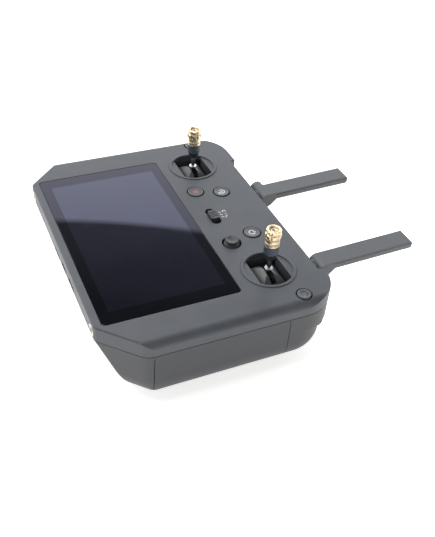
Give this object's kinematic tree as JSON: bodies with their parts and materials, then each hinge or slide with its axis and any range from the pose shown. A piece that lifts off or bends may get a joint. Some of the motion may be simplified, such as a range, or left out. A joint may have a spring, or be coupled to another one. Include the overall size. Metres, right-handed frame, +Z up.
{
  "type": "radio transmitter controller",
  "caption": "Hand-held radio transmitter for drones and models: large screen in the deck, sprung gimbal sticks, round push buttons, rear grips and folding flat antennas.",
  "frame": {"origin": "on the resting plane, under the middle of the whole object", "axes": "+X the user's right, +Y away from the user towards the antenna tips, +Z up out of the deck and screen"},
  "size_m": [0.1832, 0.2034, 0.0765],
  "materials": {
    "deck_plastic": "fine matte texture, dark blue-grey",
    "shell_plastic": "matte",
    "panel_plastic": "fine dimpled grip texture",
    "cover_glass": "polished, black when the display is off",
    "inner_plastic": "moulded black",
    "circuit_board": "solder mask",
    "steel": "turned",
    "aluminium_sheet": "mill finish",
    "cell_sleeve": "shrink sleeve",
    "button_plastic": "satin, with light icon",
    "knob_plastic": "ribbed",
    "gloss_black": "polished black",
    "gold_metal": "gold anodised, satin",
    "blue_metal": "dark blue anodised, knurled",
    "insert_metal": "nickelled, knurled outside"
  },
  "bodies": {
    "housing": {"top_shell": "deck_plastic", "gimbal_ring_left": "deck_plastic", "gimbal_ring_right": "deck_plastic", "bottom_shell": "shell_plastic", "vent_grille": "shell_plastic", "side_panel_left": "panel_plastic", "side_panel_right": "panel_plastic", "screen_glass": "cover_glass", "display_panel": "inner_plastic", "fan_housing": "inner_plastic", "gimbal_base_left": "inner_plastic", "gimbal_base_right": "inner_plastic", "speaker": "inner_plastic", "dial_bracket_left": "inner_plastic", "dial_bracket_right": "inner_plastic", "main_board": "circuit_board", "button_board": "circuit_board", "rear_switches": "circuit_board", "casing_screws": "steel", "card_slot": "steel", "usb_c_port": "steel", "video_port": "steel", "shield_can": "steel", "display_tray": "aluminium_sheet", "heat_sink": "aluminium_sheet", "battery_cells": "cell_sleeve", "threaded_inserts": "insert_metal"},
    "return_key": {"return_button": "button_plastic"},
    "pause_key": {"pause_button": "button_plastic"},
    "power_key": {"power_button": "button_plastic"},
    "back_key": {"back_button": "button_plastic"},
    "confirm_key": {"confirm_button": "button_plastic"},
    "record_key": {"record_button": "shell_plastic"},
    "shutter_key": {"shutter_button": "shell_plastic"},
    "rear_key_left": {"rear_button_left": "shell_plastic"},
    "rear_key_right": {"rear_button_right": "shell_plastic"},
    "five_way_base": {"five_way_plunger": "inner_plastic"},
    "five_way_cradle": {"five_way_rocker": "inner_plastic"},
    "five_way_stick": {"five_way_nub": "button_plastic"},
    "mode_switch": {"mode_slider": "knob_plastic"},
    "dial_wheel_left": {"dial_left": "knob_plastic"},
    "yoke_left": {"gimbal_yoke_left": "gloss_black"},
    "stick_left": {"stick_shaft_left": "steel", "stick_sleeve_left": "blue_metal", "stick_grip_left": "gold_metal"},
    "swivel_left": {"antenna_swivel_left": "shell_plastic", "antenna_pin_left": "steel"},
    "blade_left": {"antenna_blade_left": "shell_plastic"},
    "dial_wheel_right": {"dial_right": "knob_plastic"},
    "yoke_right": {"gimbal_yoke_right": "gloss_black"},
    "stick_right": {"stick_shaft_right": "steel", "stick_sleeve_right": "blue_metal", "stick_grip_right": "gold_metal"},
    "swivel_right": {"antenna_swivel_right": "shell_plastic", "antenna_pin_right": "steel"},
    "blade_right": {"antenna_blade_right": "shell_plastic"},
    "fan_rotor": {"fan_impeller": "inner_plastic"}
  },
  "joints": [
    {"name": "return_key_press", "type": "slide", "parent": "housing", "child": "return_key", "axis": [0, 0, -1], "range_m": [0, 0.0006], "stiffness_N_per_m": 600, "springref_m": -0.0004},
    {"name": "pause_key_press", "type": "slide", "parent": "housing", "child": "pause_key", "axis": [0, 0, -1], "range_m": [0, 0.0006], "stiffness_N_per_m": 600, "springref_m": -0.0004},
    {"name": "power_key_press", "type": "slide", "parent": "housing", "child": "power_key", "axis": [0, 0, -1], "range_m": [0, 0.0006], "stiffness_N_per_m": 600, "springref_m": -0.0004},
    {"name": "back_key_press", "type": "slide", "parent": "housing", "child": "back_key", "axis": [0, 0, -1], "range_m": [0, 0.0006], "stiffness_N_per_m": 600, "springref_m": -0.0004},
    {"name": "confirm_key_press", "type": "slide", "parent": "housing", "child": "confirm_key", "axis": [0, 0, -1], "range_m": [0, 0.0006], "stiffness_N_per_m": 600, "springref_m": -0.0004},
    {"name": "record_key_press", "type": "slide", "parent": "housing", "child": "record_key", "axis": [0, -1, 0], "range_m": [0, 0.0006], "stiffness_N_per_m": 600, "springref_m": -0.0004},
    {"name": "shutter_key_press", "type": "slide", "parent": "housing", "child": "shutter_key", "axis": [0, -1, 0], "range_m": [0, 0.0006], "stiffness_N_per_m": 600, "springref_m": -0.0004},
    {"name": "rear_key_left_press", "type": "slide", "parent": "housing", "child": "rear_key_left", "axis": [0, 0, 1], "range_m": [0, 0.0006], "stiffness_N_per_m": 600, "springref_m": -0.0004},
    {"name": "rear_key_right_press", "type": "slide", "parent": "housing", "child": "rear_key_right", "axis": [0, 0, 1], "range_m": [0, 0.0006], "stiffness_N_per_m": 600, "springref_m": -0.0004},
    {"name": "five_way_base_press", "type": "slide", "parent": "housing", "child": "five_way_base", "axis": [0, 0, -1], "range_m": [0, 0.0005], "stiffness_N_per_m": 600, "springref_m": -0.0004},
    {"name": "five_way_tilt_x", "type": "hinge", "parent": "five_way_base", "child": "five_way_cradle", "pos_m": [0.0284, -0.0038, 0.0443], "axis": [0, 1, 0], "range_deg": [-7, 7], "stiffness_Nm_per_rad": 0.02},
    {"name": "five_way_tilt_y", "type": "hinge", "parent": "five_way_cradle", "child": "five_way_stick", "pos_m": [0.0284, -0.0038, 0.0443], "axis": [1, 0, 0], "range_deg": [-7, 7], "stiffness_Nm_per_rad": 0.02},
    {"name": "mode_slide", "type": "slide", "parent": "housing", "child": "mode_switch", "axis": [1, 0, 0], "range_m": [-0.0032, 0.0032]},
    {"name": "dial_turn_left", "type": "hinge", "parent": "housing", "child": "dial_wheel_left", "pos_m": [-0.076, 0.0274, 0.0215], "axis": [0, 0, 1], "range_deg": [-25, 25], "stiffness_Nm_per_rad": 0.02},
    {"name": "stick_left_forward", "type": "hinge", "parent": "housing", "child": "yoke_left", "pos_m": [-0.0577, 0.0062, 0.037], "axis": [-1, 0, 0], "range_deg": [-25, 25], "stiffness_Nm_per_rad": 0.06},
    {"name": "stick_left_sideways", "type": "hinge", "parent": "yoke_left", "child": "stick_left", "pos_m": [-0.0577, 0.0062, 0.037], "axis": [0, 1, 0], "range_deg": [-25, 25], "stiffness_Nm_per_rad": 0.06},
    {"name": "antenna_left_swivel", "type": "hinge", "parent": "housing", "child": "swivel_left", "pos_m": [-0.016, 0.0344, 0.04285], "axis": [0, 1, 0], "range_deg": [0, 180]},
    {"name": "antenna_left_fold", "type": "hinge", "parent": "swivel_left", "child": "blade_left", "pos_m": [-0.016, 0.0404, 0.04285], "axis": [-1, 0, 0], "range_deg": [0, 90]},
    {"name": "dial_turn_right", "type": "hinge", "parent": "housing", "child": "dial_wheel_right", "pos_m": [0.076, 0.0274, 0.0215], "axis": [0, 0, 1], "range_deg": [-25, 25], "stiffness_Nm_per_rad": 0.02},
    {"name": "stick_right_forward", "type": "hinge", "parent": "housing", "child": "yoke_right", "pos_m": [0.0577, 0.0062, 0.037], "axis": [-1, 0, 0], "range_deg": [-25, 25], "stiffness_Nm_per_rad": 0.06},
    {"name": "stick_right_sideways", "type": "hinge", "parent": "yoke_right", "child": "stick_right", "pos_m": [0.0577, 0.0062, 0.037], "axis": [0, 1, 0], "range_deg": [-25, 25], "stiffness_Nm_per_rad": 0.06},
    {"name": "antenna_right_swivel", "type": "hinge", "parent": "housing", "child": "swivel_right", "pos_m": [0.06, 0.0344, 0.04285], "axis": [0, 1, 0], "range_deg": [0, 180]},
    {"name": "antenna_right_fold", "type": "hinge", "parent": "swivel_right", "child": "blade_right", "pos_m": [0.06, 0.0404, 0.04285], "axis": [-1, 0, 0], "range_deg": [0, 90]},
    {"name": "fan_spin", "type": "hinge", "parent": "housing", "child": "fan_rotor", "pos_m": [0.014, -0.059, 0.0299], "axis": [0, 0, 1], "continuous": true}
  ]
}
